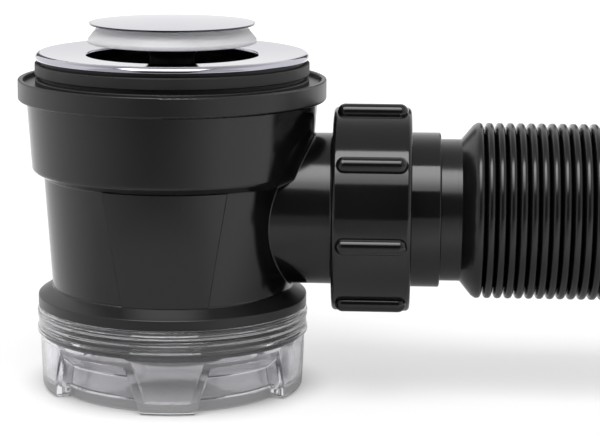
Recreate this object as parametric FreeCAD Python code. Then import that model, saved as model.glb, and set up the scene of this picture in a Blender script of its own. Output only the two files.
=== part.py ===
import FreeCAD
import Part
import math
import os

# Basin trap with a push-down waste, a clear screw-on bowl and a corrugated drain hose.
# Millimetres and degrees. +Z is up, the waste axis is Z, the outlet runs along +X,
# and the origin is the middle of the bowl's foot.

# Clearances
turn_gap = 0.35
face_gap = 0.1
run_gap = 0.08
socket_gap = 0.1

# Clear bowl
thread_setback = 2.5
thread_depth = 0.8
band_wall = 1.8
band_step = 0.5
bead_height = 0.35
bead_width = 1.4
bowl_height = 26.2
band_height = 8.2
bowl_wall = 2.6
bowl_floor = 2.9
bowl_draft = 0.6
bowl_corner = 1.9
bowl_inner_corner = 2.0
lug_count = 5
lug_clock = -87.0
lug_foot_angle = 23.05
lug_top_angle = 37.37
pocket_depth = 5.0
pocket_draft = 0.9
pocket_roof_drop = 4.3
pocket_head = 3.0
pocket_round = 1.0
lug_root = 15.0
lug_edge_round = 0.7
seal_width = 3.0
seal_thickness = 1.6

# Trap body
body_wall = 2.4
spigot_height = 7.5
spigot_wall = 4.0
collar_height = 3.1
skirt_height = 2.8
lower_setback = 2.4
lower_draft = 2.4
lower_height = 34.7
step_height = 2.3
step_out = 3.6
upper_draft = 1.5
upper_height = 21.5
rim_overhang = 2.7
rim_height = 6.4
rim_lip = 1.6
recess_depth = 1.5
top_plate = 3.0
panel_rise = 0.4
panel_turn = 1.5
panel_top_width = 36.1
panel_foot_width = 24.7
panel_edge_slope = 0.33
inlet_collar_wall = 3.3
inlet_collar_depth = 25.0
inlet_ledge = 2.2
weir_drop = 6.0

# Outlet spout, union and hose
spout_z = 56.9
spout_r = 23.5
spout_wall = 4.0
spout_fillet = 0.5
union_thread_step = 5.1
union_thread_length = 13.0
nut_setoff = 2.4
nut_wall = 2.65
nut_lip = 2.6
nut_round = 1.4
nut_spout_cover = 2.4
rib_count = 8
rib_clock = 34.4
rib_r = 2.5
rib_inset = 1.2
rib_rise = 0.15
union_seal_thickness = 1.9
tail_flange = 2.8
tail_step = 0.5
tail_length = 15.7
tail_socket_depth = 6.8
ring_thickness = 1.1
cuff_step = 2.0
cuff_wall = 2.2
cuff_length = 13.0
cone_length = 4.3
crest_rise = 5.2
crest_depth = 3.3
hose_pitch = 3.22
crest_width = 2.1
crest_count = 18
hose_wall = 1.0
outlet_pipe_r = 20.0
outlet_gap = 0.15
outlet_wall = 2.2
outlet_length = 34.0
outlet_cone = 4.5

# Waste flange, gaskets and neck
flange_r = 42.5
flange_hole_r = 26.6
flange_plate = 1.6
flange_dish = 0.9
flange_edge = 2.0
flange_round = 1.6
flange_edge_wall = 1.2
flange_collar_wall = 1.2
flange_collar_depth = 8.8
lower_gasket_margin = 3.8
lower_gasket_thickness = 1.6
gasket_waist = 1.5
gasket_height = 6.5
gasket_foot = 1.2
gasket_band = 3.7
neck_wall = 2.5
neck_shoulder = 0.4
spider_arms = 4
arm_width = 2.6
arm_height = 6.0
arm_rise = 3.0
hub_wall = 2.4
hub_height = 10.0

# Dip tube
dip_flange = 2.5
dip_seal_thickness = 1.5
dip_flange_width = 5.2
dip_taper = 7.5
dip_wall = 2.0
dip_drop = 9.5

# Push-down plug and its latch
plug_travel = 8.0
closed_gap = 0.4
cap_margin = 1.0
cap_edge = 0.5
cap_dome = 0.7
cap_boss_r = 4.0
cap_boss_depth = 4.6
plug_lip_margin = 0.5
plug_waist = 2.7
plug_seal_height = 5.6
plug_lip_height = 1.2
plug_seal_wall = 1.1
plug_web = 1.0
stem_disc_margin = 2.8
stem_disc = 2.4
stem_r = 7.0
stem_flare_out = 2.2
stem_gap = 0.8
stem_straight = 3.4
stem_flare = 2.6
housing_wall = 1.5
housing_bore_r = 5.0
housing_flange_inset = 0.2
housing_flange = 2.2
housing_depth = 30.0
housing_floor = 1.5
housing_top = 3.3
rod_r = 3.0
plunger_head = 6.5
rotor_height = 2.5
rotor_wall = 1.7
rotor_notches = 4
rotor_notch = 1.2
spring_wire_r = 0.45
spring_gap = 0.35
spring_turns = 5.5
nut_across_flats = 18.0
click_nut_height = 4.8

# Levels, from the foot up
band_z = bowl_height - band_height
pocket_z = band_z - pocket_head
pocket_back_z = pocket_z - pocket_roof_drop
collar_z = bowl_height + face_gap * 3
spigot_z = collar_z - spigot_height
seat_z = spigot_z - seal_thickness - face_gap
collar_top_z = collar_z + collar_height
skirt_top_z = collar_top_z + skirt_height
step_z = skirt_top_z + lower_height
upper_z = step_z + step_height
rim_z = upper_z + upper_height
rim_top_z = rim_z + rim_height
recess_z = rim_top_z - recess_depth
plate_z = recess_z - top_plate
inlet_foot_z = recess_z - inlet_collar_depth
ledge_z = inlet_foot_z + inlet_ledge
dip_flange_z = ledge_z + dip_seal_thickness
neck_z = dip_flange_z + dip_flange
gasket_z = recess_z + lower_gasket_thickness
flange_under_z = gasket_z + gasket_height
flange_top_z = flange_under_z + flange_plate
cap_z = flange_top_z + closed_gap + plug_travel
hub_z = neck_z + arm_rise
hub_top_z = hub_z + hub_height
housing_top_z = hub_top_z + housing_flange
housing_z = hub_top_z - housing_depth
stem_z = housing_top_z + plug_travel + stem_gap
head_top_z = housing_top_z - housing_top - face_gap * 3
head_z = head_top_z - plunger_head
rotor_z = head_z - rotor_height
dip_foot_z = spigot_z - dip_drop

# Radii that follow from the fits
thread_r = flange_r - thread_setback
bowl_bore_r = thread_r + turn_gap
band_r = bowl_bore_r + band_wall
wall_top_r = band_r - band_step
wall_foot_r = wall_top_r - bowl_draft
collar_r = band_r
spigot_core_r = thread_r - thread_depth
spigot_bore_r = thread_r - spigot_wall
lower_foot_r = thread_r - lower_setback
lower_top_r = lower_foot_r + lower_draft
upper_foot_r = lower_top_r + step_out
upper_top_r = upper_foot_r + upper_draft
rim_r = upper_top_r + rim_overhang
rim_inner_r = rim_r - rim_lip
lower_gasket_r = rim_inner_r - lower_gasket_margin
gasket_r = flange_r
gasket_waist_r = gasket_r - gasket_waist
flange_collar_r = flange_hole_r + flange_collar_wall
neck_socket_r = flange_collar_r + socket_gap
neck_thread_r = neck_socket_r + neck_wall
neck_bore_r = flange_hole_r - neck_shoulder
inlet_bore_r = neck_thread_r + turn_gap
inlet_collar_r = inlet_bore_r + inlet_collar_wall
dip_flange_r = inlet_bore_r - turn_gap
dip_top_r = dip_flange_r - dip_flange_width
dip_foot_r = dip_top_r - dip_taper
cap_r = flange_hole_r - cap_margin
plug_lip_r = flange_hole_r - plug_lip_margin
plug_waist_r = plug_lip_r - plug_waist
stem_disc_r = plug_waist_r - stem_disc_margin
stem_flare_r = stem_r + stem_flare_out
housing_r = housing_bore_r + housing_wall
hub_bore_r = housing_r + socket_gap
hub_r = hub_bore_r + hub_wall
housing_flange_r = hub_r - housing_flange_inset
rotor_bore_r = housing_bore_r - run_gap - rotor_wall
spring_r = housing_bore_r - spring_gap - spring_wire_r
spout_bore_r = spout_r - spout_wall
union_thread_r = spout_r + union_thread_step
nut_bore_r = union_thread_r + turn_gap
nut_r = nut_bore_r + nut_wall
tail_r = spout_r + tail_step
cuff_r = tail_r - cuff_step
crest_r = cuff_r + crest_rise
root_r = crest_r - crest_depth
outlet_bore_r = outlet_pipe_r + outlet_gap
outlet_r = outlet_bore_r + outlet_wall

# Stations along the outlet
nut_x = rim_r + nut_setoff
spout_end_x = nut_x + nut_spout_cover + union_thread_length
tail_x = spout_end_x + union_seal_thickness + face_gap
tail_shoulder_x = tail_x + tail_flange
tail_end_x = tail_x + tail_length
ring_x = tail_shoulder_x + face_gap
nut_lip_x = ring_x + ring_thickness + face_gap
nut_end_x = nut_lip_x + nut_lip
cuff_x = tail_end_x - tail_socket_depth + face_gap
cone_x = cuff_x + cuff_length
first_crest_x = cone_x + cone_length + crest_width / 2
last_crest_x = first_crest_x + hose_pitch * (crest_count - 1)
outlet_x = last_crest_x + crest_width / 2 + outlet_cone
hose_end_x = outlet_x + outlet_length

up = FreeCAD.Vector(0, 0, 1)
along = FreeCAD.Vector(1, 0, 0)
origin = FreeCAD.Vector(0, 0, 0)
overshoot = 1.0


def rounded_wire(points, place):
    """Closed wire through (a, b) points; a third value rounds that corner by its radius."""
    corners = []
    for i, point in enumerate(points):
        here = FreeCAD.Vector(point[0], point[1], 0)
        radius = point[2] if len(point) > 2 else 0.0
        if radius == 0.0:
            corners.append((here, None, here))
            continue
        last = points[i - 1]
        following = points[(i + 1) % len(points)]
        back = (FreeCAD.Vector(last[0], last[1], 0) - here).normalize()
        forth = (FreeCAD.Vector(following[0], following[1], 0) - here).normalize()
        half_turn = back.getAngle(forth) / 2
        reach = radius / math.tan(half_turn)
        inward = (back + forth).normalize()
        apex = here + inward * (radius / math.sin(half_turn) - radius)
        corners.append((here + back * reach, apex, here + forth * reach))
    edges = []
    for i, (start, apex, end) in enumerate(corners):
        if apex is not None:
            edges.append(Part.Arc(place(start), place(apex), place(end)).toShape())
        after = corners[(i + 1) % len(corners)][0]
        edges.append(Part.LineSegment(place(end), place(after)).toShape())
    return Part.Wire(edges)


def turned(points):
    """Solid of revolution about the waste axis from (radius, height) points."""
    wire = rounded_wire(points, lambda p: FreeCAD.Vector(p.x, 0, p.y))
    return Part.Face(wire).revolve(origin, up, 360)


def turned_across(points):
    """Solid of revolution about the outlet axis from (station, radius) points."""
    wire = rounded_wire(points, lambda p: FreeCAD.Vector(p.x, 0, spout_z + p.y))
    return Part.Face(wire).revolve(FreeCAD.Vector(0, 0, spout_z), along, 360)


def ring(inner_r, outer_r, low_z, high_z):
    """Plain ring about the waste axis."""
    return turned([(inner_r, low_z), (outer_r, low_z), (outer_r, high_z), (inner_r, high_z)])


def ring_across(inner_r, outer_r, start_x, end_x):
    """Plain ring about the outlet axis."""
    return turned_across([(start_x, inner_r), (start_x, outer_r), (end_x, outer_r), (end_x, inner_r)])


def around(shape, count, start, centre, axis):
    """Copies of a shape spread evenly about an axis, the first turned by the start angle."""
    copies = []
    for i in range(count):
        copy = shape.copy()
        copy.rotate(centre, axis, start + 360.0 * i / count)
        copies.append(copy)
    return copies


def sharp_edges(shape, wanted):
    """Edges where two faces meet at an angle and whose middle point is wanted."""
    found = []
    for edge in shape.Edges:
        middle = edge.valueAt((edge.FirstParameter + edge.LastParameter) / 2)
        if not wanted(middle):
            continue
        normals = []
        for face in shape.ancestorsOfType(edge, Part.Face):
            u, v = face.Surface.parameter(middle)
            normals.append(face.normalAt(u, v))
        if len(normals) == 2 and normals[0].getAngle(normals[1]) > math.radians(10.0):
            found.append(edge)
    return found


def lug_block(margin):
    """Wedge that fills one lug of the bowl between two pockets, narrowed by a margin on each side."""
    foot = wall_foot_r * math.sin(math.radians(lug_foot_angle / 2)) - margin
    top = wall_foot_r * math.sin(math.radians(lug_top_angle / 2)) - margin
    slope = (top - foot) / pocket_z
    high_z = bowl_height
    near_r = wall_foot_r - lug_root
    corners = [
        FreeCAD.Vector(near_r, foot - slope * overshoot, -overshoot),
        FreeCAD.Vector(near_r, foot + slope * high_z, high_z),
        FreeCAD.Vector(near_r, -foot - slope * high_z, high_z),
        FreeCAD.Vector(near_r, -foot + slope * overshoot, -overshoot),
    ]
    face = Part.Face(Part.makePolygon(corners + corners[:1]))
    return face.extrude(along * (band_r * 2 - near_r))


def pocket_ring(inset):
    """Ring of pockets cut into the bowl, grown inwards and upwards by an inset."""
    back_foot_r = wall_foot_r - pocket_depth
    back_top_r = back_foot_r + pocket_draft
    roof_slope = math.atan2(pocket_roof_drop, wall_top_r - back_top_r)
    far_r = band_r * 1.2
    lift = inset / math.cos(roof_slope)
    corner_z = pocket_back_z + lift - inset * math.tan(roof_slope)
    far_z = pocket_back_z + lift + (far_r - back_top_r) * math.tan(roof_slope)
    pockets = turned([
        (back_foot_r - inset, -overshoot),
        (back_top_r - inset, corner_z, pocket_round),
        (far_r, far_z),
        (far_r, -overshoot),
    ])
    lugs = around(lug_block(inset), lug_count, lug_clock, origin, up)
    return pockets.cut(lugs)


def clear_bowl():
    """Clear moulded bowl: threaded band, tapered wall and finger pockets between lugs."""
    bead_r = band_r + bead_height
    outside = turned([
        (0, 0),
        (wall_foot_r, 0, bowl_corner),
        (wall_top_r, band_z, bead_height),
        (bead_r, band_z, bead_height),
        (bead_r, band_z + bead_width),
        (band_r, band_z + bead_width + bead_height),
        (band_r, bowl_height - bead_width * 2 - bead_height),
        (bead_r, bowl_height - bead_width * 2),
        (bead_r, bowl_height - bead_width),
        (band_r, bowl_height - bead_width + bead_height),
        (band_r, bowl_height, bead_height),
        (0, bowl_height),
    ])
    outside = outside.cut(pocket_ring(0.0))
    pocket_edges = sharp_edges(outside, lambda p: p.z < pocket_z)
    outside = outside.makeFillet(lug_edge_round, pocket_edges)
    inside = turned([
        (0, bowl_floor),
        (wall_foot_r - bowl_wall, bowl_floor, bowl_inner_corner),
        (wall_top_r - bowl_wall, seat_z),
        (0, seat_z),
    ])
    inside = inside.cut(pocket_ring(bowl_wall))
    thread_bore = ring(0, bowl_bore_r, seat_z, bowl_height + overshoot)
    return outside.cut([inside, thread_bore]).removeSplitter()


def bowl_seal():
    """Flat ring that the spigot presses on the bowl's seat."""
    outer_r = bowl_bore_r - socket_gap
    return ring(outer_r - seal_width, outer_r, seat_z, seat_z + seal_thickness)


def lower_panel():
    """Slightly raised panel on the lower wall, narrower towards the skirt."""
    skin = turned([
        (lower_foot_r - body_wall / 2, skirt_top_z),
        (lower_foot_r + panel_rise, skirt_top_z),
        (lower_top_r + panel_rise, step_z),
        (lower_top_r - body_wall / 2, step_z),
    ])
    outlines = []
    for depth in (0.0, rim_r):
        foot = panel_foot_width / 2 + panel_edge_slope * (lower_foot_r - depth)
        top = panel_top_width / 2 + panel_edge_slope * (lower_foot_r - depth)
        corners = [
            FreeCAD.Vector(-foot, -depth, skirt_top_z),
            FreeCAD.Vector(foot, -depth, skirt_top_z),
            FreeCAD.Vector(top, -depth, step_z),
            FreeCAD.Vector(-top, -depth, step_z),
        ]
        outlines.append(Part.makePolygon(corners + corners[:1]))
    window = Part.makeLoft(outlines, True, True)
    front = skin.common(window)
    front.rotate(origin, up, panel_turn)
    return [front, front.mirror(origin, FreeCAD.Vector(0, 1, 0))]


def trap_body():
    """Moulded body: outside turned in one outline, spout across it, chamber and inlet collar inside."""
    shell = turned([
        (0, spigot_z),
        (spigot_core_r, spigot_z, 0.6),
        (spigot_core_r, collar_z),
        (collar_r, collar_z, 0.3),
        (collar_r, collar_top_z, 0.5),
        (lower_foot_r, skirt_top_z, 0.8),
        (lower_top_r, step_z, 0.5),
        (upper_foot_r, upper_z, 1.2),
        (upper_top_r, rim_z, 0.4),
        (rim_r, rim_z, 0.8),
        (rim_r, rim_top_z, 0.5),
        (rim_inner_r, rim_top_z, 0.4),
        (rim_inner_r, recess_z),
        (0, recess_z),
    ])
    step_shift = body_wall / 2
    chamber = turned([
        (0, spigot_z - overshoot),
        (spigot_bore_r, spigot_z - overshoot),
        (spigot_bore_r, collar_top_z),
        (lower_foot_r - body_wall, skirt_top_z),
        (lower_top_r - body_wall, step_z + step_shift),
        (upper_foot_r - body_wall, upper_z + step_shift),
        (upper_top_r - body_wall, plate_z),
        (0, plate_z),
    ])
    thread_x = spout_end_x - union_thread_length
    flare = union_thread_r - spout_r
    spout = turned_across([
        (0, 0),
        (0, spout_r),
        (thread_x - flare / 2, spout_r, 1.0),
        (thread_x, union_thread_r, 0.8),
        (spout_end_x, union_thread_r, 0.8),
        (spout_end_x, 0),
    ])
    wall_below_weir = shell.cut(chamber)
    weir_box = Part.makeBox(
        rim_r, rim_r * 2, spout_z - weir_drop, FreeCAD.Vector(0, -rim_r, 0)
    )
    bore = ring_across(0, spout_bore_r, 0, spout_end_x + overshoot)
    bore = bore.cut(wall_below_weir.common(weir_box))
    inlet_collar = ring(0, inlet_collar_r, inlet_foot_z, plate_z)
    inlet_bore = ring(0, inlet_bore_r, ledge_z, recess_z + overshoot)
    ledge_hole = ring(0, dip_top_r + turn_gap, inlet_foot_z - overshoot, ledge_z + overshoot)
    body = shell.fuse([spout] + lower_panel())
    on_spout = spout_r + face_gap
    joint = sharp_edges(
        body, lambda p: 0 < p.x < nut_x and math.hypot(p.y, p.z - spout_z) < on_spout
    )
    body = body.makeFillet(spout_fillet, joint)
    body = body.cut([chamber, bore])
    body = body.fuse(inlet_collar)
    body = body.cut([inlet_bore, ledge_hole])
    return body.removeSplitter()


def waste_flange():
    """Chrome flange: plate dished towards the hole, rolled edge and a collar down through the hole."""
    collar_foot_z = flange_top_z - flange_collar_depth
    edge_inner_r = flange_r - flange_edge_wall
    edge_z = flange_top_z - flange_edge
    return turned([
        (flange_hole_r, collar_foot_z),
        (flange_collar_r, collar_foot_z),
        (flange_collar_r, flange_under_z),
        (edge_inner_r, flange_under_z),
        (edge_inner_r, edge_z),
        (flange_r, edge_z, 0.3),
        (flange_r, flange_top_z, flange_round),
        (flange_hole_r, flange_top_z - flange_dish, 0.6),
    ])


def upper_gasket():
    """Thick rubber ring with a broad band between two narrow waists."""
    inner_r = neck_thread_r + turn_gap
    band_foot_z = gasket_z + gasket_foot
    band_top_z = band_foot_z + gasket_band
    return turned([
        (inner_r, gasket_z),
        (gasket_waist_r, gasket_z),
        (gasket_waist_r, band_foot_z),
        (gasket_r, band_foot_z, 0.4),
        (gasket_r, band_top_z, 0.4),
        (gasket_waist_r, band_top_z),
        (gasket_waist_r, flange_under_z),
        (inner_r, flange_under_z),
    ])


def lower_gasket():
    """Flat rubber ring in the rim's recess."""
    return turned([
        (neck_thread_r + turn_gap, recess_z),
        (lower_gasket_r, recess_z),
        (lower_gasket_r, gasket_z, 0.4),
        (neck_thread_r + turn_gap, gasket_z),
    ])


def waste_neck():
    """Threaded neck with a socket for the flange's collar and a spider that holds the hub."""
    socket_z = flange_top_z - flange_collar_depth - face_gap
    tube = turned([
        (neck_bore_r, neck_z),
        (neck_thread_r, neck_z, 0.5),
        (neck_thread_r, flange_under_z),
        (neck_socket_r, flange_under_z),
        (neck_socket_r, socket_z),
        (neck_bore_r, socket_z),
    ])
    arm = Part.makeBox(
        neck_bore_r + (neck_thread_r - neck_bore_r) / 2,
        arm_width,
        arm_height,
        FreeCAD.Vector(0, -arm_width / 2, hub_z),
    )
    hub = ring(0, hub_r, hub_z, hub_top_z)
    spider = hub.fuse(around(arm, spider_arms, 45.0, origin, up))
    neck = tube.fuse(spider)
    neck = neck.cut(ring(0, hub_bore_r, hub_z - overshoot, hub_top_z + overshoot))
    return neck.removeSplitter()


def dip_tube():
    """Tapered tube that hangs from its flange inside the inlet collar."""
    return turned([
        (dip_foot_r - dip_wall, dip_foot_z),
        (dip_foot_r, dip_foot_z, 0.5),
        (dip_top_r, dip_flange_z),
        (dip_flange_r, dip_flange_z),
        (dip_flange_r, neck_z),
        (dip_top_r - dip_wall, neck_z),
        (dip_top_r - dip_wall, dip_flange_z),
    ])


def dip_tube_seal():
    """Flat ring between the dip tube's flange and the body's ledge."""
    return ring(dip_top_r + turn_gap, dip_flange_r, ledge_z, dip_flange_z)


def click_housing():
    """Cartridge body with a flange on the hub and a bore for spring and plunger."""
    return turned([
        (0, housing_z),
        (housing_r, housing_z, 0.8),
        (housing_r, hub_top_z),
        (housing_flange_r, hub_top_z),
        (housing_flange_r, housing_top_z, 0.6),
        (rod_r + run_gap, housing_top_z),
        (rod_r + run_gap, housing_top_z - housing_top),
        (housing_bore_r, housing_top_z - housing_top),
        (housing_bore_r, housing_z + housing_floor),
        (0, housing_z + housing_floor),
    ])


def click_nut():
    """Hexagon nut that clamps the cartridge under the hub."""
    corner_r = nut_across_flats / math.sqrt(3.0)
    corners = []
    for i in range(7):
        angle = math.radians(60.0 * i)
        corners.append(FreeCAD.Vector(
            corner_r * math.cos(angle), corner_r * math.sin(angle), hub_z - click_nut_height
        ))
    hexagon = Part.Face(Part.makePolygon(corners)).extrude(up * click_nut_height)
    rounding = turned([
        (0, hub_z - click_nut_height),
        (nut_across_flats / 2, hub_z - click_nut_height),
        (corner_r, hub_z - click_nut_height + 1.0),
        (corner_r, hub_z),
        (0, hub_z),
    ])
    hole = ring(0, hub_bore_r, hub_z - click_nut_height - overshoot, hub_z + overshoot)
    return hexagon.common(rounding).cut(hole)


def click_plunger():
    """Rod with a guided head; the plug screws on its upper end."""
    rod_top_z = cap_z - cap_boss_depth - face_gap * 2
    return turned([
        (0, head_z),
        (housing_bore_r - run_gap, head_z),
        (housing_bore_r - run_gap, head_top_z, 0.5),
        (rod_r, head_top_z),
        (rod_r, rod_top_z, 0.5),
        (0, rod_top_z),
    ])


def latch_rotor():
    """Notched ring under the plunger's head that locks and frees the plug."""
    body = ring(rotor_bore_r, housing_bore_r - run_gap, rotor_z, head_z)
    notch = Part.makeBox(
        housing_bore_r,
        rotor_notch,
        rotor_height / 2,
        FreeCAD.Vector(rotor_bore_r - rotor_notch, -rotor_notch / 2, head_z - rotor_height / 2),
    )
    return body.cut(around(notch, rotor_notches, 0.0, origin, up))


def click_spring():
    """Coil spring between the cartridge floor and the rotor."""
    low_z = housing_z + housing_floor + spring_wire_r
    height = rotor_z - spring_wire_r - low_z
    helix = Part.makeHelix(height / spring_turns, height, spring_r)
    helix.translate(FreeCAD.Vector(0, 0, low_z))
    start = FreeCAD.Vector(spring_r, 0, low_z)
    rise = FreeCAD.Vector(0, 2 * math.pi * spring_r, height / spring_turns)
    section = Part.Wire(Part.makeCircle(spring_wire_r, start, rise))
    return Part.Wire(helix.Edges).makePipeShell([section], True, True)


def plug_stem():
    """Flared stem under a round plate; plunger below, cap boss above."""
    disc_z = cap_z - stem_disc
    flare_z = stem_z + stem_straight
    rod_top_z = cap_z - cap_boss_depth
    socket_r = cap_boss_r + socket_gap
    return turned([
        (rod_r + run_gap, stem_z),
        (stem_r, stem_z, 0.4),
        (stem_r, flare_z, 2.0),
        (stem_flare_r, flare_z + stem_flare, 0.8),
        (stem_flare_r, disc_z),
        (stem_disc_r, disc_z),
        (stem_disc_r, cap_z),
        (socket_r, cap_z),
        (socket_r, rod_top_z),
        (rod_r + run_gap, rod_top_z),
    ])


def plug_cap():
    """Thin domed chrome disc with a threaded boss underneath."""
    dome_r = (cap_r ** 2 + cap_dome ** 2) / (2 * cap_dome)
    rim_z = cap_z + cap_edge
    top_z = rim_z + cap_dome
    half = math.asin(cap_r / dome_r) / 2
    apex = FreeCAD.Vector(dome_r * math.sin(half), 0, top_z - dome_r * (1 - math.cos(half)))
    path = [
        (0, cap_z - cap_boss_depth),
        (cap_boss_r, cap_z - cap_boss_depth),
        (cap_boss_r, cap_z),
        (cap_r, cap_z),
        (cap_r, rim_z),
    ]
    edges = []
    for (r0, z0), (r1, z1) in zip(path, path[1:]):
        edges.append(Part.LineSegment(FreeCAD.Vector(r0, 0, z0), FreeCAD.Vector(r1, 0, z1)).toShape())
    crown = FreeCAD.Vector(0, 0, top_z)
    edges.append(Part.Arc(FreeCAD.Vector(cap_r, 0, rim_z), apex, crown).toShape())
    edges.append(Part.LineSegment(crown, FreeCAD.Vector(0, 0, path[0][1])).toShape())
    return Part.Face(Part.Wire(edges)).revolve(origin, up, 360)


def plug_seal():
    """Silicone skirt: waisted under the cap, flared to a thin lip, with a web under the stem's plate."""
    lip_z = cap_z - plug_seal_height
    shoulder_z = cap_z - stem_disc - face_gap
    web_z = shoulder_z - plug_web
    waist_z = cap_z - stem_disc / 2
    outer_r = stem_disc_r + face_gap
    hole_r = stem_flare_r + socket_gap
    return turned([
        (outer_r, cap_z),
        (outer_r, shoulder_z),
        (hole_r, shoulder_z),
        (hole_r, web_z),
        (plug_waist_r - plug_seal_wall, web_z, 1.0),
        (plug_lip_r - plug_seal_wall, lip_z),
        (plug_lip_r, lip_z, 0.3),
        (plug_lip_r, lip_z + plug_lip_height, 0.5),
        (plug_waist_r, waist_z, 1.0),
        (plug_waist_r, cap_z),
    ])


def union_nut():
    """Ribbed nut with a thread bore, and a lip that draws the hose tail to the spout."""
    lip_bore_r = tail_r + turn_gap * 1.5
    shell = turned_across([
        (nut_x, nut_bore_r),
        (nut_x, nut_r, nut_round),
        (nut_end_x, nut_r, nut_round),
        (nut_end_x, lip_bore_r, 0.4),
        (nut_lip_x, lip_bore_r),
        (nut_lip_x, nut_bore_r),
    ])
    rib_x = nut_x + rib_inset + rib_r
    straight = nut_end_x - rib_inset - rib_r - rib_x
    centre = FreeCAD.Vector(rib_x, -nut_r - rib_rise, spout_z)
    rib = Part.makeCylinder(rib_r, straight, centre, along)
    rib = rib.fuse([
        Part.makeSphere(rib_r, centre),
        Part.makeSphere(rib_r, centre + along * straight),
    ])
    keep_out = ring_across(0, nut_bore_r + nut_wall / 2, nut_x - overshoot, nut_end_x + overshoot)
    rib = rib.removeSplitter().cut(keep_out)
    axis_point = FreeCAD.Vector(0, 0, spout_z)
    ribs = around(rib, rib_count, -rib_clock, axis_point, along)
    return shell.fuse(ribs).removeSplitter()


def union_ring():
    """Slip ring between the nut's lip and the hose tail's flange."""
    inner_r = tail_r + turn_gap
    outer_r = nut_bore_r - turn_gap
    return ring_across(inner_r, outer_r, ring_x, ring_x + ring_thickness)


def union_seal():
    """Flat ring between the spout's end and the hose tail."""
    return ring_across(
        spout_bore_r + turn_gap, union_thread_r - turn_gap, spout_end_x, tail_x - face_gap
    )


def hose_tail():
    """Rigid tail: flange inside the nut, collar outside it, socket for the hose cuff."""
    flange_outer_r = union_thread_r - turn_gap
    socket_x = tail_end_x - tail_socket_depth
    return turned_across([
        (tail_x, spout_bore_r),
        (tail_x, flange_outer_r),
        (tail_shoulder_x, flange_outer_r),
        (tail_shoulder_x, tail_r),
        (tail_end_x, tail_r, 0.6),
        (tail_end_x, cuff_r + socket_gap),
        (socket_x, cuff_r + socket_gap),
        (socket_x, spout_bore_r),
    ])


def drain_hose():
    """Corrugated hose with a plain cuff at each end."""
    outside = [(cuff_x, cuff_r), (cone_x, cuff_r)]
    inside = [(cuff_x, cuff_r - cuff_wall), (cone_x, cuff_r - cuff_wall)]
    for i in range(crest_count):
        crest_x = first_crest_x + hose_pitch * i
        if i > 0:
            outside.append((crest_x - hose_pitch / 2, root_r))
            inside.append((crest_x - hose_pitch / 2, root_r - hose_wall))
        outside.append((crest_x - crest_width / 2, crest_r))
        outside.append((crest_x + crest_width / 2, crest_r))
        inside.append((crest_x, crest_r - hose_wall))
    outside += [(outlet_x, outlet_r), (hose_end_x, outlet_r, 0.6)]
    inside += [(outlet_x, outlet_bore_r), (hose_end_x, outlet_bore_r)]
    return turned_across(outside + inside[::-1])


pieces = {
    "clear_bowl": clear_bowl,
    "bowl_seal": bowl_seal,
    "trap_body": trap_body,
    "waste_flange": waste_flange,
    "upper_gasket": upper_gasket,
    "lower_gasket": lower_gasket,
    "waste_neck": waste_neck,
    "dip_tube": dip_tube,
    "dip_tube_seal": dip_tube_seal,
    "click_housing": click_housing,
    "click_nut": click_nut,
    "click_plunger": click_plunger,
    "latch_rotor": latch_rotor,
    "click_spring": click_spring,
    "plug_stem": plug_stem,
    "plug_cap": plug_cap,
    "plug_seal": plug_seal,
    "union_nut": union_nut,
    "union_ring": union_ring,
    "union_seal": union_seal,
    "hose_tail": hose_tail,
    "drain_hose": drain_hose,
}

os.makedirs("parts", exist_ok=True)
for name, make in pieces.items():
    shape = make()
    solids = shape.Solids
    print(name, len(solids), "solid", round(shape.Volume / 1000, 2), "cm3", shape.isValid())
    shape.exportStep("parts/" + name + ".step")
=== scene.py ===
# %% [markdown]
# # A basin trap, dressed for the studio
# The solids of the trap come from CAD and are already in place, in metres. This lesson gives them their
# finishes, adds the detail that is too fine for the solids, and sets up a small studio around them. The
# first cell loads the solids, bakes their placing into the meshes and drops the empties.

import math

import bmesh
import bpy
from mathutils import Matrix, Vector


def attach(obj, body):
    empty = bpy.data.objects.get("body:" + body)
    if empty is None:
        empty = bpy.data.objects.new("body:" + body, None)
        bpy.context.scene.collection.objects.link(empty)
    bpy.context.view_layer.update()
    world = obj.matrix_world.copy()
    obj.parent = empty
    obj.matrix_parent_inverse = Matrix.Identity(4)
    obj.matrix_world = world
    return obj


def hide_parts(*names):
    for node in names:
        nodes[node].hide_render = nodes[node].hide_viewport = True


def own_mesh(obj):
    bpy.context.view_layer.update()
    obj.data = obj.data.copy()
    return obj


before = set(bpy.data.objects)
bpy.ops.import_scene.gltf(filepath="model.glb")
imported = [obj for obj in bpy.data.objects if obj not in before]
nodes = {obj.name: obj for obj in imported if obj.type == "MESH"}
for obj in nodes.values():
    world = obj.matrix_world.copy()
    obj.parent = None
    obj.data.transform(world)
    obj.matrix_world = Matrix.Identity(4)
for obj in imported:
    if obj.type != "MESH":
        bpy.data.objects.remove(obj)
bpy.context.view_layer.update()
outlet_height = 0.0569

# %% [markdown]
# ## The camera
# The photograph was taken with a long lens, a little to the right of the waste axis and about eleven
# degrees above the table. A long lens keeps the ellipses of rim and flange flat. The trap stands left of
# the middle, so the lens is shifted instead of turned, which keeps the body upright. Columns and focal
# length are in pixels.

# %% Camera
aim = Vector((0.0, 0.0, 0.0533))
elevation, azimuth, roll = math.radians(10.77), math.radians(4.0), math.radians(0.15)
reach = 0.6925
picture_width, picture_middle = 600.0, 300.0
waste_column, lens_column, focal_pixels = 172.6, 228.0, 2209.0

forward = Vector((
    -math.sin(azimuth) * math.cos(elevation),
    math.cos(azimuth) * math.cos(elevation),
    -math.sin(elevation),
))
sideways = Vector((math.cos(azimuth), math.sin(azimuth), 0.0))
upwards = sideways.cross(forward)
place = aim - forward * reach + sideways * (lens_column - waste_column) * reach / focal_pixels
turn = Matrix((sideways, upwards, -forward)).transposed() @ Matrix.Rotation(roll, 3, "Z")

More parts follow.
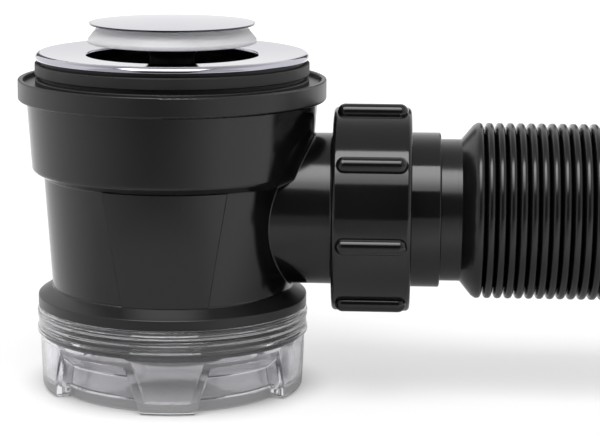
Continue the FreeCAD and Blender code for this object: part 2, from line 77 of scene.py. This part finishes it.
camera = bpy.data.objects.new("camera", bpy.data.cameras.new("camera"))
bpy.context.scene.collection.objects.link(camera)
camera.matrix_world = Matrix.Translation(place) @ turn.to_4x4()
camera.data.sensor_width = 36.0
camera.data.lens = camera.data.sensor_width * focal_pixels / picture_width
camera.data.shift_x = (picture_middle - lens_column) / picture_width
camera.data.clip_start = 0.05
camera.data.clip_end = 20.0
bpy.context.scene.camera = camera
bpy.context.scene.view_settings.view_transform = "Standard"
print("camera at", [round(v, 3) for v in place], "lens", round(camera.data.lens, 1))

# %% [markdown]
# ## Helpers for meshes
# Each new piece is shaped in a bmesh and then becomes an object at the origin. Round pieces are a line
# that is spun about an axis, because a spin keeps every ring true. A thread is the same spin, carried
# along by its pitch.

# %% Mesh helpers


def make_object(name, shape):
    """An object at the origin from a finished bmesh."""
    mesh = bpy.data.meshes.new(name)
    shape.to_mesh(mesh)
    shape.free()
    made = bpy.data.objects.new(name, mesh)
    bpy.context.scene.collection.objects.link(made)
    print("made", name, "with", len(mesh.polygons), "faces")
    return made


def soften(shape, crease):
    """Smooth shading, with sharp edges wherever two faces meet at more than the crease angle."""
    bmesh.ops.recalc_face_normals(shape, faces=shape.faces)
    for face in shape.faces:
        face.smooth = True
    for edge in shape.edges:
        edge.smooth = edge.calc_face_angle(0.0) < math.radians(crease)


def lay_line(shape, points, closed):
    """A chain of edges through points in the plane of X and Z."""
    corners = [shape.verts.new((x, 0.0, z)) for x, z in points]
    ends = corners[1:] + (corners[:1] if closed else [])
    return corners + [shape.edges.new(pair) for pair in zip(corners, ends)]


def wind_thread(name, section, axis, centre, pitch, turns):
    """A thread ridge: a section wound round an axis and carried along it by the pitch."""
    steps = 64
    shape = bmesh.new()
    line = lay_line(shape, section, False)
    rise = Vector(axis) * pitch / steps
    bmesh.ops.spin(
        shape, geom=line, cent=centre, axis=axis, dvec=rise, angle=math.tau * turns,
        steps=int(steps * turns)
    )
    soften(shape, 60.0)
    return make_object(name, shape)


def flat_sheet(half_size):
    """A bmesh with one square face in the plane of the table."""
    shape = bmesh.new()
    bmesh.ops.create_grid(shape, x_segments=1, y_segments=1, size=half_size)
    return shape


# %% [markdown]
# ## Helpers for finishes
# Each finish starts from a Principled shader. Its pattern is read in object coordinates, in metres, so it
# keeps its real size. A socket takes either a value or another node's output, so one helper feeds both,
# and the others build on it.

# %% Finish helpers


def start_finish(name, **sockets):
    """A material with its Principled shader, whose even values are set on the sockets."""
    finish = bpy.data.materials.new(name)
    finish.use_nodes = True
    shader = finish.node_tree.nodes["Principled BSDF"]
    for socket, value in sockets.items():
        shader.inputs[socket.replace("_", " ")].default_value = value
    return finish, shader


def feed(tree, socket, value):
    """Links a socket to another node's output, or sets it to a value."""
    if isinstance(value, bpy.types.NodeSocket):
        tree.links.new(value, socket)
    else:
        socket.default_value = value


def add_node(tree, kind, **settings):
    """A node of a kind, with its options set and its inputs fed by name."""
    node = tree.nodes.new(kind)
    for key, value in settings.items():
        socket = key.replace("_", " ")
        if socket in node.inputs:
            feed(tree, node.inputs[socket], value)
        else:
            setattr(node, key, value)
    return node


def work_out(tree, operation, *values):
    """A number that is worked out from values or sockets."""
    node = add_node(tree, "ShaderNodeMath", operation=operation)
    for socket, value in zip(node.inputs, values):
        feed(tree, socket, value)
    return node.outputs["Value"]


def ease(tree, value, start, end, low, high):
    """A number that goes smoothly from low to high while a value goes from start to end."""
    node = add_node(
        tree, "ShaderNodeMapRange", interpolation_type="SMOOTHSTEP", Value=value, From_Min=start,
        From_Max=end, To_Min=low, To_Max=high
    )
    return node.outputs["Result"]


def blend(tree, share, first, second):
    """A Mix node between two numbers or sockets."""
    return add_node(tree, "ShaderNodeMix", data_type="FLOAT", Factor=share, A=first, B=second)


def blend_tones(tree, share, first, second):
    """A colour between two tones."""
    mix = add_node(tree, "ShaderNodeMix", data_type="RGBA", Factor=share, A=first, B=second)
    return mix.outputs["Result"]


def find_point(tree):
    """The point on the object."""
    return add_node(tree, "ShaderNodeTexCoord").outputs["Object"]


def split(tree, point):
    """X, Y and Z of a point."""
    return add_node(tree, "ShaderNodeSeparateXYZ", Vector=point).outputs


def length(tree, vector):
    """How far a point is from the origin."""
    return add_node(tree, "ShaderNodeVectorMath", operation="LENGTH", Vector=vector).outputs["Value"]


def off_axis(tree, point):
    """How far a point is from the waste axis."""
    flattened = add_node(tree, "ShaderNodeMapping", Vector=point, Scale=(1.0, 1.0, 0.0))
    return length(tree, flattened.outputs["Vector"])


# %% [markdown]
# ## Helpers for noise and relief
# Moulded, drawn and plated surfaces are never quite even. A noise gives a finish its life: it can move a
# number, such as the roughness, or a colour, and a height becomes a fine relief.

# %% Noise helpers
noise_range = (0.3, 0.7)


def add_noise(tree, scale, detail, stretch=(1.0, 1.0, 1.0)):
    """Noise in object coordinates, stretched along an axis if asked."""
    mapping = add_node(tree, "ShaderNodeMapping", Vector=find_point(tree), Scale=stretch)
    place = mapping.outputs["Vector"]
    return add_node(tree, "ShaderNodeTexNoise", Vector=place, Scale=scale, Detail=detail)


def vary(tree, noise, socket, low, high):
    """Lets a noise move a socket between two values."""
    start, end = noise_range
    spread = add_node(
        tree, "ShaderNodeMapRange", Value=noise.outputs["Fac"], From_Min=start, From_Max=end, To_Min=low,
        To_Max=high
    )
    feed(tree, socket, spread.outputs["Result"])


def tint(tree, noise, socket, dark, light):
    """Lets a noise move a colour between two tones."""
    ramp = add_node(tree, "ShaderNodeValToRGB", Fac=noise.outputs["Fac"])
    for stop, position, tone in zip(ramp.color_ramp.elements, noise_range, (dark, light)):
        stop.position = position
        stop.color = tone
    feed(tree, socket, ramp.outputs["Color"])


def emboss(tree, height, shader, strength, distance):
    """Turns a height into a fine relief."""
    bump = add_node(tree, "ShaderNodeBump", Strength=strength, Distance=distance, Height=height)
    feed(tree, shader.inputs["Normal"], bump.outputs["Normal"])


# %% [markdown]
# ## The black mouldings
# Body, nut, hose and most pieces inside are moulded in black plastic. It is almost pure black, so what is
# seen is nearly all reflection. One even roughness would look like paint, and a moulded skin is never
# quite even: a soft noise moves the roughness, and a fine one gives a hardly visible relief. Rim and skirt
# of the body are duller than the walls between them.

# %% Black plastics
deep_black, soft_black = (0.0032, 0.0032, 0.0036, 1), (0.0048, 0.0048, 0.0052, 1)
dull_roughness, skin_depth = 0.34, 0.00002
walls_foot, walls_head = 0.0325, 0.0905


def black_moulding(name, gloss, skin, low=-1.0, high=1.0):
    """Black plastic with a soft change of gloss and a fine skin, duller outside a range of heights."""
    finish, shader = start_finish(name, IOR=1.5)
    tree = finish.node_tree
    broad = add_noise(tree, 60.0, 3.0)
    fine = add_noise(tree, 1400.0, 4.0)
    tint(tree, broad, shader.inputs["Base Color"], deep_black, soft_black)
    height = split(tree, find_point(tree))["Z"]
    between = work_out(tree, "COMPARE", height, (low + high) / 2, (high - low) / 2)
    rough = blend(tree, between, dull_roughness, gloss)
    vary(tree, broad, rough.inputs["B"], gloss * 0.85, gloss * 1.15)
    feed(tree, shader.inputs["Roughness"], rough.outputs["Result"])
    emboss(tree, fine.outputs["Fac"], shader, skin, skin_depth)
    return finish


body_black = black_moulding("body_black", 0.16, 0.05, walls_foot, walls_head)
nut_black = black_moulding("nut_black", 0.1, 0.05)
hose_black = black_moulding("hose_black", 0.2, 0.05)
inner_black = black_moulding("inner_black", 0.3, 0.08)
print("finishes:", body_black.name, nut_black.name, hose_black.name, inner_black.name)

# %% [markdown]
# ## Rubber and steel
# The gaskets are matt rubber. A picture of rubber could be wrapped round them, but two noises do it without
# seams: a broad one clouds the tone and the gloss, and a fine one gives the grain. Plunger and spring are
# plain drawn steel, so the noise in their gloss is stretched along the height.

# %% Rubber and steel
rubber_dark, rubber_light = (0.006, 0.006, 0.0065, 1), (0.010, 0.010, 0.011, 1)
rubber, shader = start_finish("gasket_rubber", IOR=1.5)
tree = rubber.node_tree
cloud = add_noise(tree, 90.0, 3.0)
grain = add_noise(tree, 2200.0, 5.0)
tint(tree, cloud, shader.inputs["Base Color"], rubber_dark, rubber_light)
vary(tree, cloud, shader.inputs["Roughness"], 0.5, 0.62)
emboss(tree, grain.outputs["Fac"], shader, 0.25, 0.00004)

steel, shader = start_finish("plain_steel", Metallic=1.0, Base_Color=(0.55, 0.55, 0.57, 1))
tree = steel.node_tree
drawn = add_noise(tree, 900.0, 3.0, (1.0, 1.0, 0.08))
vary(tree, drawn, shader.inputs["Roughness"], 0.22, 0.4)
print("finishes:", rubber.name, steel.name)

# %% [markdown]
# ## Chrome
# Flange and cap are pressed discs with a chrome plate, which shows the studio with a slight film on it.
# The turned-under edge of the cap mirrors the dark front of the room, so the cap gets a chrome of its own
# with a painted dark reflection: a dark tone below a height and outside a radius.

# %% Chrome
chrome_tone, painted_reflection_tone = (0.53, 0.525, 0.59, 1), (0.04, 0.04, 0.045, 1)
painted_reflection_top, painted_reflection_r = 0.11443, 0.0252

chrome, flange_shader = start_finish("chrome_plate", Metallic=1.0, Base_Color=chrome_tone)
cap_chrome_painted_edge, cap_shader = start_finish("cap_chrome_painted_edge", Metallic=1.0)
for shader in (flange_shader, cap_shader):
    tree = shader.id_data
    film = add_noise(tree, 45.0, 2.0)
    vary(tree, film, shader.inputs["Roughness"], 0.045, 0.075)

# Painted dark reflection: below the given height and outside the given radius the cap's base colour turns
# dark.
tree = cap_chrome_painted_edge.node_tree
point = find_point(tree)
below = work_out(tree, "LESS_THAN", split(tree, point)["Z"], painted_reflection_top)
outside = work_out(tree, "GREATER_THAN", off_axis(tree, point), painted_reflection_r)
edge = work_out(tree, "MULTIPLY", below, outside)
feed(tree, cap_shader.inputs["Base Color"], blend_tones(tree, edge, chrome_tone, painted_reflection_tone))
print("finishes:", chrome.name, cap_chrome_painted_edge.name)

# %% [markdown]
# ## Silicone
# The plug's skirt is milky silicone. Glass alone would be too clear and paint too flat, so it is mostly
# subsurface scattering, deep enough for the light to come through the lip.

# %% Silicone
silicone, shader = start_finish(
    "milky_silicone", IOR=1.42, Transmission_Weight=0.05, Base_Color=(0.8, 0.8, 0.82, 1),
    Subsurface_Weight=1.0, Subsurface_Scale=0.01, Subsurface_Radius=(1.0, 1.0, 1.0)
)
tree = silicone.node_tree
cloud = add_noise(tree, 120.0, 3.0)
vary(tree, cloud, shader.inputs["Roughness"], 0.3, 0.42)
print("finish:", silicone.name)

# %% [markdown]
# ## The clear bowl
# The bowl is clear, polished plastic with a trace of lavender. Its inner wall is frosted behind the finger
# pockets and milkier higher up there, and the whole bowl is a little hazy at its foot. One even glass
# would miss that, so height and distance from the axis set the gloss and the clarity. The solids leave
# out the thread in its bore. A wave along the height gives its relief, which is seen as light lines
# against the black spigot, and a single ridge marks the floor at the foot of the pockets.

# %% Clear plastic
inner_wall_r, inner_wall_span = 0.0376, 0.0017
frost_foot, frost_head, frost_roughness = 0.005, 0.0165, 0.13
bore_r, bore_span, thread_foot, thread_waves = 0.0404, 0.0004, 0.0195, 149.6
pocket_r, pocket_span, floor_line, ridge_half = 0.0364, 0.0008, 0.0042, 0.0006
haze_start, clear_share, milky_share = 0.009, 0.97, 0.8
foot_start, foot_end, foot_share = 0.0036, 0.0105, 0.85
ridge_rise, relief_depth = 2.0, 0.0005

clear, shader = start_finish(
    "clear_plastic", IOR=1.5, Transmission_Weight=1.0, Base_Color=(0.965, 0.955, 0.985, 1)
)
tree = clear.node_tree
point = find_point(tree)
height = split(tree, point)["Z"]
radius = off_axis(tree, point)

on_inner_wall = work_out(tree, "COMPARE", radius, inner_wall_r, inner_wall_span)
frost_middle, frost_span = (frost_foot + frost_head) / 2, (frost_head - frost_foot) / 2
at_pockets = work_out(tree, "COMPARE", height, frost_middle, frost_span)
frosted = work_out(tree, "MULTIPLY", on_inner_wall, at_pockets)
gloss = blend(tree, frosted, 0.0, frost_roughness)
vary(tree, add_noise(tree, 70.0, 2.0), gloss.inputs["A"], 0.012, 0.035)
feed(tree, shader.inputs["Roughness"], gloss.outputs["Result"])

milky = ease(tree, height, haze_start, frost_head, clear_share, milky_share)
haze = blend(tree, frosted, 1.0, milky)
foot_clarity = ease(tree, height, foot_start, foot_end, foot_share, 1.0)
clarity = work_out(tree, "MULTIPLY", haze.outputs["Result"], foot_clarity)
feed(tree, shader.inputs["Transmission Weight"], clarity)

waves = add_node(tree, "ShaderNodeTexWave", bands_direction="Z", Vector=point, Scale=thread_waves)
in_bore = work_out(tree, "COMPARE", radius, bore_r, bore_span)
threaded = work_out(tree, "MULTIPLY", in_bore, work_out(tree, "GREATER_THAN", height, thread_foot))
thread = work_out(tree, "MULTIPLY", waves.outputs["Fac"], threaded)
from_floor = work_out(tree, "ABSOLUTE", work_out(tree, "SUBTRACT", height, floor_line))
ridge = ease(tree, from_floor, 0.0, ridge_half, ridge_rise, 0.0)
floor_ridge = work_out(tree, "MULTIPLY", ridge, work_out(tree, "COMPARE", radius, pocket_r, pocket_span))
emboss(tree, work_out(tree, "ADD", thread, floor_ridge), shader, 1.0, relief_depth)
print("finish:", clear.name, "with", len(tree.nodes), "nodes")

# %% [markdown]
# ## Who wears what
# Every solid gets the finish of its real piece, also the pieces inside, some of which are seen past the
# plug or through the bowl.

# %% Finishes on the solids
worn_by = {
    body_black: ["trap_body"],
    nut_black: ["union_nut", "hose_tail", "union_ring"],
    hose_black: ["drain_hose"],
    inner_black: ["waste_neck", "dip_tube", "click_housing", "click_nut", "latch_rotor", "plug_stem"],
    rubber: ["upper_gasket", "lower_gasket", "bowl_seal", "dip_tube_seal", "union_seal"],
    chrome: ["waste_flange"],
    cap_chrome_painted_edge: ["plug_cap"],
    steel: ["click_plunger", "click_spring"],
    silicone: ["plug_seal"],
    clear: ["clear_bowl"],
}
for finish, names in worn_by.items():
    for name in names:
        nodes[name].data.materials.clear()
        nodes[name].data.materials.append(finish)
    print(finish.name, "on", ", ".join(names))

# %% [markdown]
# ## The corrugated hose
# The solid hose has straight-sided corrugations. The blown hose in the photograph has round crests with
# narrow grooves between them, so a finer hose takes its place: the outline of its wall is laid once and
# spun round the outlet axis. The crest is a full, flat-topped arch, and a fine groove marks the cuff.

# %% Corrugated hose
cuff_start, cuff_r, cuff_bore = 0.0766, 0.022, 0.0198
cuff_line, line_step, line_depth = 0.0886, 0.0002, 0.00004
cone_start, cone_corner, cone_head = 0.0896, (0.0897, 0.02212), (0.0932, 0.02635)
first_crest, pitch, crests, half_width = 0.09495, 0.00322, 18, 0.00147
crest_r, root_r, groove_r, wall = 0.0272, 0.0239, 0.0234, 0.001
arch_power, arch_steps, first_step, hose_steps = 2.8, 12, 4, 112
outlet_start, outlet_end, outlet_r, outlet_bore, outlet_round = 0.15524, 0.18924, 0.02235, 0.02015, 0.0006

outside = [(cuff_start, cuff_r)]
for step in (-3, -1, 0, 1, 3):
    outside.append((cuff_line + line_step * step, cuff_r - (0.0 if step else line_depth)))
outside += [(cone_start, cuff_r), cone_corner, cone_head]
inside = [(cuff_start, cuff_bore), (cone_start, cuff_bore)]
for crest in range(crests):
    middle = first_crest + pitch * crest
    for step in range(0 if crest else first_step, arch_steps + 1):
        across = -math.cos(math.pi * step / arch_steps)
        rise = (1.0 - abs(across) ** arch_power) ** (1.0 / arch_power)
        outside.append((middle + half_width * across, root_r + (crest_r - root_r) * rise))
    if crest < crests - 1:
        outside.append((middle + pitch / 2, groove_r))
    for across in (-1.0, -0.6, 0.0, 0.6, 1.0):
        rise = math.sqrt(1.0 - across ** 2)
        inside.append((middle + half_width * across, root_r - wall + (crest_r - root_r) * rise))
outside += [(outlet_start, outlet_r), (outlet_end - outlet_round, outlet_r)]
outside.append((outlet_end, outlet_r - outlet_round))
inside += [(outlet_start, outlet_bore), (outlet_end, outlet_bore)]

shape = bmesh.new()
outline = [(x, outlet_height + r) for x, r in outside + inside[::-1]]
line = lay_line(shape, outline, True)
bmesh.ops.spin(
    shape, geom=line, cent=(0, 0, outlet_height), axis=(1, 0, 0), angle=math.tau, steps=hose_steps,
    use_merge=True
)
soften(shape, 50.0)
hose = make_object("hose_look", shape)
hose.data.materials.append(hose_black)
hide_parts("drain_hose")
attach(hose, "tail")

# %% [markdown]
# ## The threads
# The solids leave out the threads. The spigot gets a tall rounded ridge, which is seen through the clear
# band, and the spout a low one under the nut. Each ridge is drawn as half an outline, from foot to crest,
# and mirrored. Both threads stay inside the turning clearance.

# %% Threads


def whole_ridge(half):
    """The outline of a ridge from its half, as steps along the axis and outwards."""
    return [(-along, out) for along, out in half] + half[::-1]


spigot_foot_r, spigot_start, spigot_pitch, spigot_turns = 0.03918, 0.0203, 0.0021, 2.5
spout_foot_r, spout_start, spout_pitch, spout_turns = 0.02858, 0.0538, 0.0023, 4.7
spigot_half = [(0.0008, 0.0), (0.00035, 0.0008), (0.0002, 0.0009)]
spout_half = [(0.00072, 0.0), (0.00054, 0.0002), (0.00024, 0.00028)]

ridge = whole_ridge(spigot_half)
section = [(spigot_foot_r + out, spigot_start + along) for along, out in ridge]
spigot_thread = wind_thread("spigot_thread", section, (0, 0, 1), (0, 0, 0), spigot_pitch, spigot_turns)
ridge = whole_ridge(spout_half)
section = [(spout_start + along, outlet_height + spout_foot_r + out) for along, out in ridge]
outlet_centre = (0, 0, outlet_height)
spout_thread = wind_thread("spout_thread", section, (1, 0, 0), outlet_centre, spout_pitch, spout_turns)
for thread in (spigot_thread, spout_thread):
    thread.data.materials.append(body_black)
    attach(thread, "trap")

# %% [markdown]
# ## The latch's spring
# The coil spring sits inside the cartridge, and in the real trap it closes up while the plug goes down.
# It is wound again as a piece of its own, with a mesh of its own, at its full length.

# %% Spring
wire, coil_r, spring_foot, spring_head = 0.00045, 0.0042, 0.0615, 0.0796
coil_turns, coil_steps = 5.5, 220
shape = bmesh.new()
start = Matrix.Translation((coil_r, 0, spring_foot + wire)) @ Matrix.Rotation(math.radians(90), 4, "X")
bmesh.ops.create_circle(shape, segments=12, radius=wire, matrix=start)
climb = Vector((0, 0, spring_head - spring_foot - 2 * wire))
bmesh.ops.spin(
    shape, geom=shape.verts[:] + shape.edges[:], cent=(0, 0, 0), axis=(0, 0, 1), dvec=climb / coil_steps,
    angle=math.tau * coil_turns, steps=coil_steps
)
bmesh.ops.holes_fill(shape, edges=shape.edges)
soften(shape, 60.0)
spring = make_object("spring_look", shape)
spring.data.materials.append(steel)
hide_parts("click_spring")
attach(spring, "trap")
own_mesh(spring)

# %% [markdown]
# ## The table
# The trap stands on a pale table. To the camera, through clear plastic and in reflections, the table
# glows a little, so that it comes out white, and it keeps the shadow because part of its light is still
# reflected. Under the bowl the glow fades, which paints a shadow there, and far away it gets stronger.

# %% Table
foot_shade_r, foot_edge_r, foot_shadow_glow, table_glow = 0.03, 0.052, 0.11, 0.52
far_start, far_end, far_glow = 0.2, 1.2, 0.35
table_tone, seen_tone = (0.8, 0.8, 0.8, 1), (0.48, 0.48, 0.48, 1)

table = make_object("table", flat_sheet(6.0))
pale, shader = start_finish(
    "pale_table", Roughness=0.9, Specular_IOR_Level=0.0, Emission_Color=(1, 1, 1, 1)
)
tree = pale.node_tree
offset = length(tree, find_point(tree))
# Painted shadow under the bowl: the glow falls from table_glow to foot_shadow_glow close to the foot.
glow_with_foot_shadow = ease(tree, offset, foot_shade_r, foot_edge_r, foot_shadow_glow, table_glow)
far = ease(tree, offset, far_start, far_end, 0.0, far_glow)
ray = add_node(tree, "ShaderNodeLightPath").outputs
direct = work_out(tree, "MAXIMUM", ray["Is Camera Ray"], ray["Is Transmission Ray"])
seen = work_out(tree, "MAXIMUM", direct, ray["Is Glossy Ray"])
feed(tree, shader.inputs["Base Color"], blend_tones(tree, seen, table_tone, seen_tone))
glow = work_out(tree, "MULTIPLY", seen, work_out(tree, "ADD", glow_with_foot_shadow, far))
feed(tree, shader.inputs["Emission Strength"], glow)
table.data.materials.append(pale)

# %% [markdown]
# ## Black net
# Black plastic and chrome show the studio like a mirror, and in the photograph the front of the body
# mirrors a dark room. Three pieces of black net stand for it: a dome over the trap, a cloth on the table,
# and two wings behind the trap. Where the net is dense it is black, and where it is thin the white studio
# shows through. The camera sees none of them, not through the clear bowl either.

# %% Net helper


def hang_net(name, shape):
    """A piece of black net; the socket that is returned takes how much light it lets through."""
    made = make_object(name, shape)
    weave = bpy.data.materials.new(name)
    weave.use_nodes = True
    tree = weave.node_tree
    tree.nodes.clear()
    output = add_node(tree, "ShaderNodeOutputMaterial")
    black = add_node(tree, "ShaderNodeBsdfDiffuse", Color=(0.01, 0.01, 0.01, 1))
    open_air = add_node(tree, "ShaderNodeBsdfTransparent")
    through = add_node(tree, "ShaderNodeMixShader")
    tree.links.new(black.outputs["BSDF"], through.inputs[1])
    tree.links.new(open_air.outputs["BSDF"], through.inputs[2])
    tree.links.new(through.outputs["Shader"], output.inputs["Surface"])
    made.data.materials.append(weave)
    made.visible_camera = False
    made.visible_transmission = False
    return made, tree, through.inputs["Fac"]


# %% [markdown]
# ### The dome
# The dome is dense in front, where the dark room is, thin at the back, and about half open overhead and on
# both flanks of the front. It is half a sphere, and the direction from its middle sets how dense it is.

# %% Net dome
dome_r, table_gap = 1.4, 0.001
front_range, front_open, back_open = (-0.75, -0.25), 0.05, 0.97
flank_range, flank_open = (0.25, 0.55), 0.6
overhead_range, overhead_open = (0.55, 0.98), 0.48

shape = bmesh.new()
bmesh.ops.create_uvsphere(shape, u_segments=96, v_segments=48, radius=dome_r)
bmesh.ops.bisect_plane(
    shape, geom=shape.verts[:] + shape.edges[:] + shape.faces[:], plane_co=(0, 0, table_gap),
    plane_no=(0, 0, 1), clear_inner=True
)
_, tree, through = hang_net("net_dome", shape)
way = add_node(tree, "ShaderNodeVectorMath", operation="NORMALIZE", Vector=find_point(tree))
parts = split(tree, way.outputs["Vector"])
front = ease(tree, parts["Y"], *front_range, front_open, back_open)
flank = ease(tree, work_out(tree, "ABSOLUTE", parts["X"]), *flank_range, 0.0, flank_open)
above = ease(tree, parts["Z"], *overhead_range, 1.0, overhead_open)
around = work_out(tree, "MAXIMUM", front, flank)
feed(tree, through, work_out(tree, "MULTIPLY", around, above))

# %% [markdown]
# ### The cloth
# The upright front of the body mirrors the table before it. The cloth lies there and is seen in
# reflections only. It is densest a little left of the middle and thins out to both sides, by bearing in
# degrees, and it is thinner close to the trap. Under the outlet it is denser again, which paints the
# outlet's shadow on the table into the reflections.

# %% Net cloth
cloth_height = 0.0002
open_shares = (
    (-110, 1.0), (-84, 0.92), (-62, 0.72), (-39, 0.48), (-14, 0.22), (10, 0.36), (29, 0.7), (46, 1.0)
)
near_range, near_open = (0.27, 0.18), 0.68
outlet_shade, outlet_squeeze = (0.055, 0.02, 0.0), (0.55, 1.0, 1.0)
shade_range, shade_open = (0.03, 0.13), 0.45

shape = flat_sheet(1.3)
bmesh.ops.translate(shape, vec=(0, 0, cloth_height), verts=shape.verts)
cloth, tree, through = hang_net("net_cloth", shape)
cloth.visible_diffuse = False
cloth.visible_shadow = False
point = find_point(tree)
turned = add_node(tree, "ShaderNodeMapping", Vector=point, Rotation=(0, 0, math.radians(90)))
bearing = add_node(tree, "ShaderNodeTexGradient", gradient_type="RADIAL", Vector=turned.outputs["Vector"])
sector = add_node(tree, "ShaderNodeValToRGB", Fac=bearing.outputs["Fac"])
sector.color_ramp.interpolation = "B_SPLINE"
for degrees, open_share in open_shares:
    stop = sector.color_ramp.elements.new(0.5 + degrees / 360.0)
    stop.color = (open_share, open_share, open_share, 1)
sector.color_ramp.elements[0].color = (1, 1, 1, 1)
thin = ease(tree, length(tree, point), *near_range, 0.0, near_open)
most = work_out(tree, "MAXIMUM", sector.outputs["Color"], thin)
# Painted shadow: under the outlet the cloth gets denser, so the table mirrored there darkens.
squeezed = add_node(tree, "ShaderNodeMapping", Vector=point, Scale=outlet_squeeze)
under = add_node(tree, "ShaderNodeVectorMath", operation="DISTANCE", Vector=squeezed.outputs["Vector"])
under.inputs[1].default_value = outlet_shade
shade = ease(tree, under.outputs["Value"], *shade_range, shade_open, 1.0)
feed(tree, through, work_out(tree, "MULTIPLY", most, shade))

# %% [markdown]
# ### The wings
# At both ends the rolled edge of the flange has a dark crescent. It mirrors what stands behind the trap
# to the left and right, so an upright net hangs there that is dense in two bands and open in the middle
# and at its ends.

# %% Net wings
wings_middle, wings_size = Vector((-0.03, 1.0, 0.41)), (1.02, 0.42, 1.0)
inner_range, outer_range, band_open = (0.18, 0.26), (0.42, 0.5), 0.1

shape = flat_sheet(0.5)
bmesh.ops.scale(shape, vec=wings_size, verts=shape.verts)
bmesh.ops.rotate(shape, matrix=Matrix.Rotation(math.radians(90), 3, "X"), verts=shape.verts)
bmesh.ops.translate(shape, vec=wings_middle, verts=shape.verts)
wings, tree, through = hang_net("net_wings", shape)
wings.visible_diffuse = False
wings.visible_shadow = False
aside = work_out(tree, "SUBTRACT", split(tree, find_point(tree))["X"], wings_middle.x)
width = work_out(tree, "ABSOLUTE", aside)
inner_edge = ease(tree, width, *inner_range, 1.0, band_open)
outer_edge = ease(tree, width, *outer_range, 0.0, 1.0)
feed(tree, through, work_out(tree, "MAXIMUM", inner_edge, outer_edge))

# %% [markdown]
# ## The softbox
# One large softbox hangs above and in front of the trap. It is a glowing sheet instead of a lamp, because
# its upper edge is brighter and its ends fade, which the black plastic shows.

# %% Softbox
softbox_aim, softbox_size = Vector((-0.07, 0.0, 0.06)), (1.14, 0.72, 1.0)
softbox_lift = math.radians(57)
rise_range, low_glow, high_glow = (0.70, 0.98), 2.2, 6.8
end_range = (0.57, 0.32)

softbox_way = Vector((0.0, -math.cos(softbox_lift), math.sin(softbox_lift)))
shape = flat_sheet(0.5)
bmesh.ops.scale(shape, vec=softbox_size, verts=shape.verts)
facing = softbox_way.to_track_quat("Z", "Y").to_matrix().to_4x4()
softbox_place = Matrix.Translation(softbox_aim + softbox_way) @ facing
bmesh.ops.transform(shape, matrix=softbox_place, verts=shape.verts)
softbox = make_object("softbox", shape)

diffuser = bpy.data.materials.new("softbox_cloth")
diffuser.use_nodes = True
tree = diffuser.node_tree
tree.nodes.clear()
parts = split(tree, find_point(tree))
rise = ease(tree, parts["Z"], *rise_range, low_glow, high_glow)
width = work_out(tree, "ABSOLUTE", work_out(tree, "SUBTRACT", parts["X"], softbox_aim.x))
ends = ease(tree, width, *end_range, 0.0, 1.0)
lamp = add_node(tree, "ShaderNodeEmission", Strength=work_out(tree, "MULTIPLY", rise, ends))
add_node(tree, "ShaderNodeOutputMaterial", Surface=lamp.outputs["Emission"])
softbox.data.materials.append(diffuser)
softbox.visible_camera = False

# %% [markdown]
# ## The surround
# A white room fills what the softbox leaves dark. White walls could be built, but a plain white world does
# the same and reaches the trap from every side where the net is open.

# %% World
world = bpy.data.worlds.new("studio")
bpy.context.scene.world = world
world.use_nodes = True
world.node_tree.nodes["Background"].inputs["Color"].default_value = (1, 1, 1, 1)
print("studio ready")
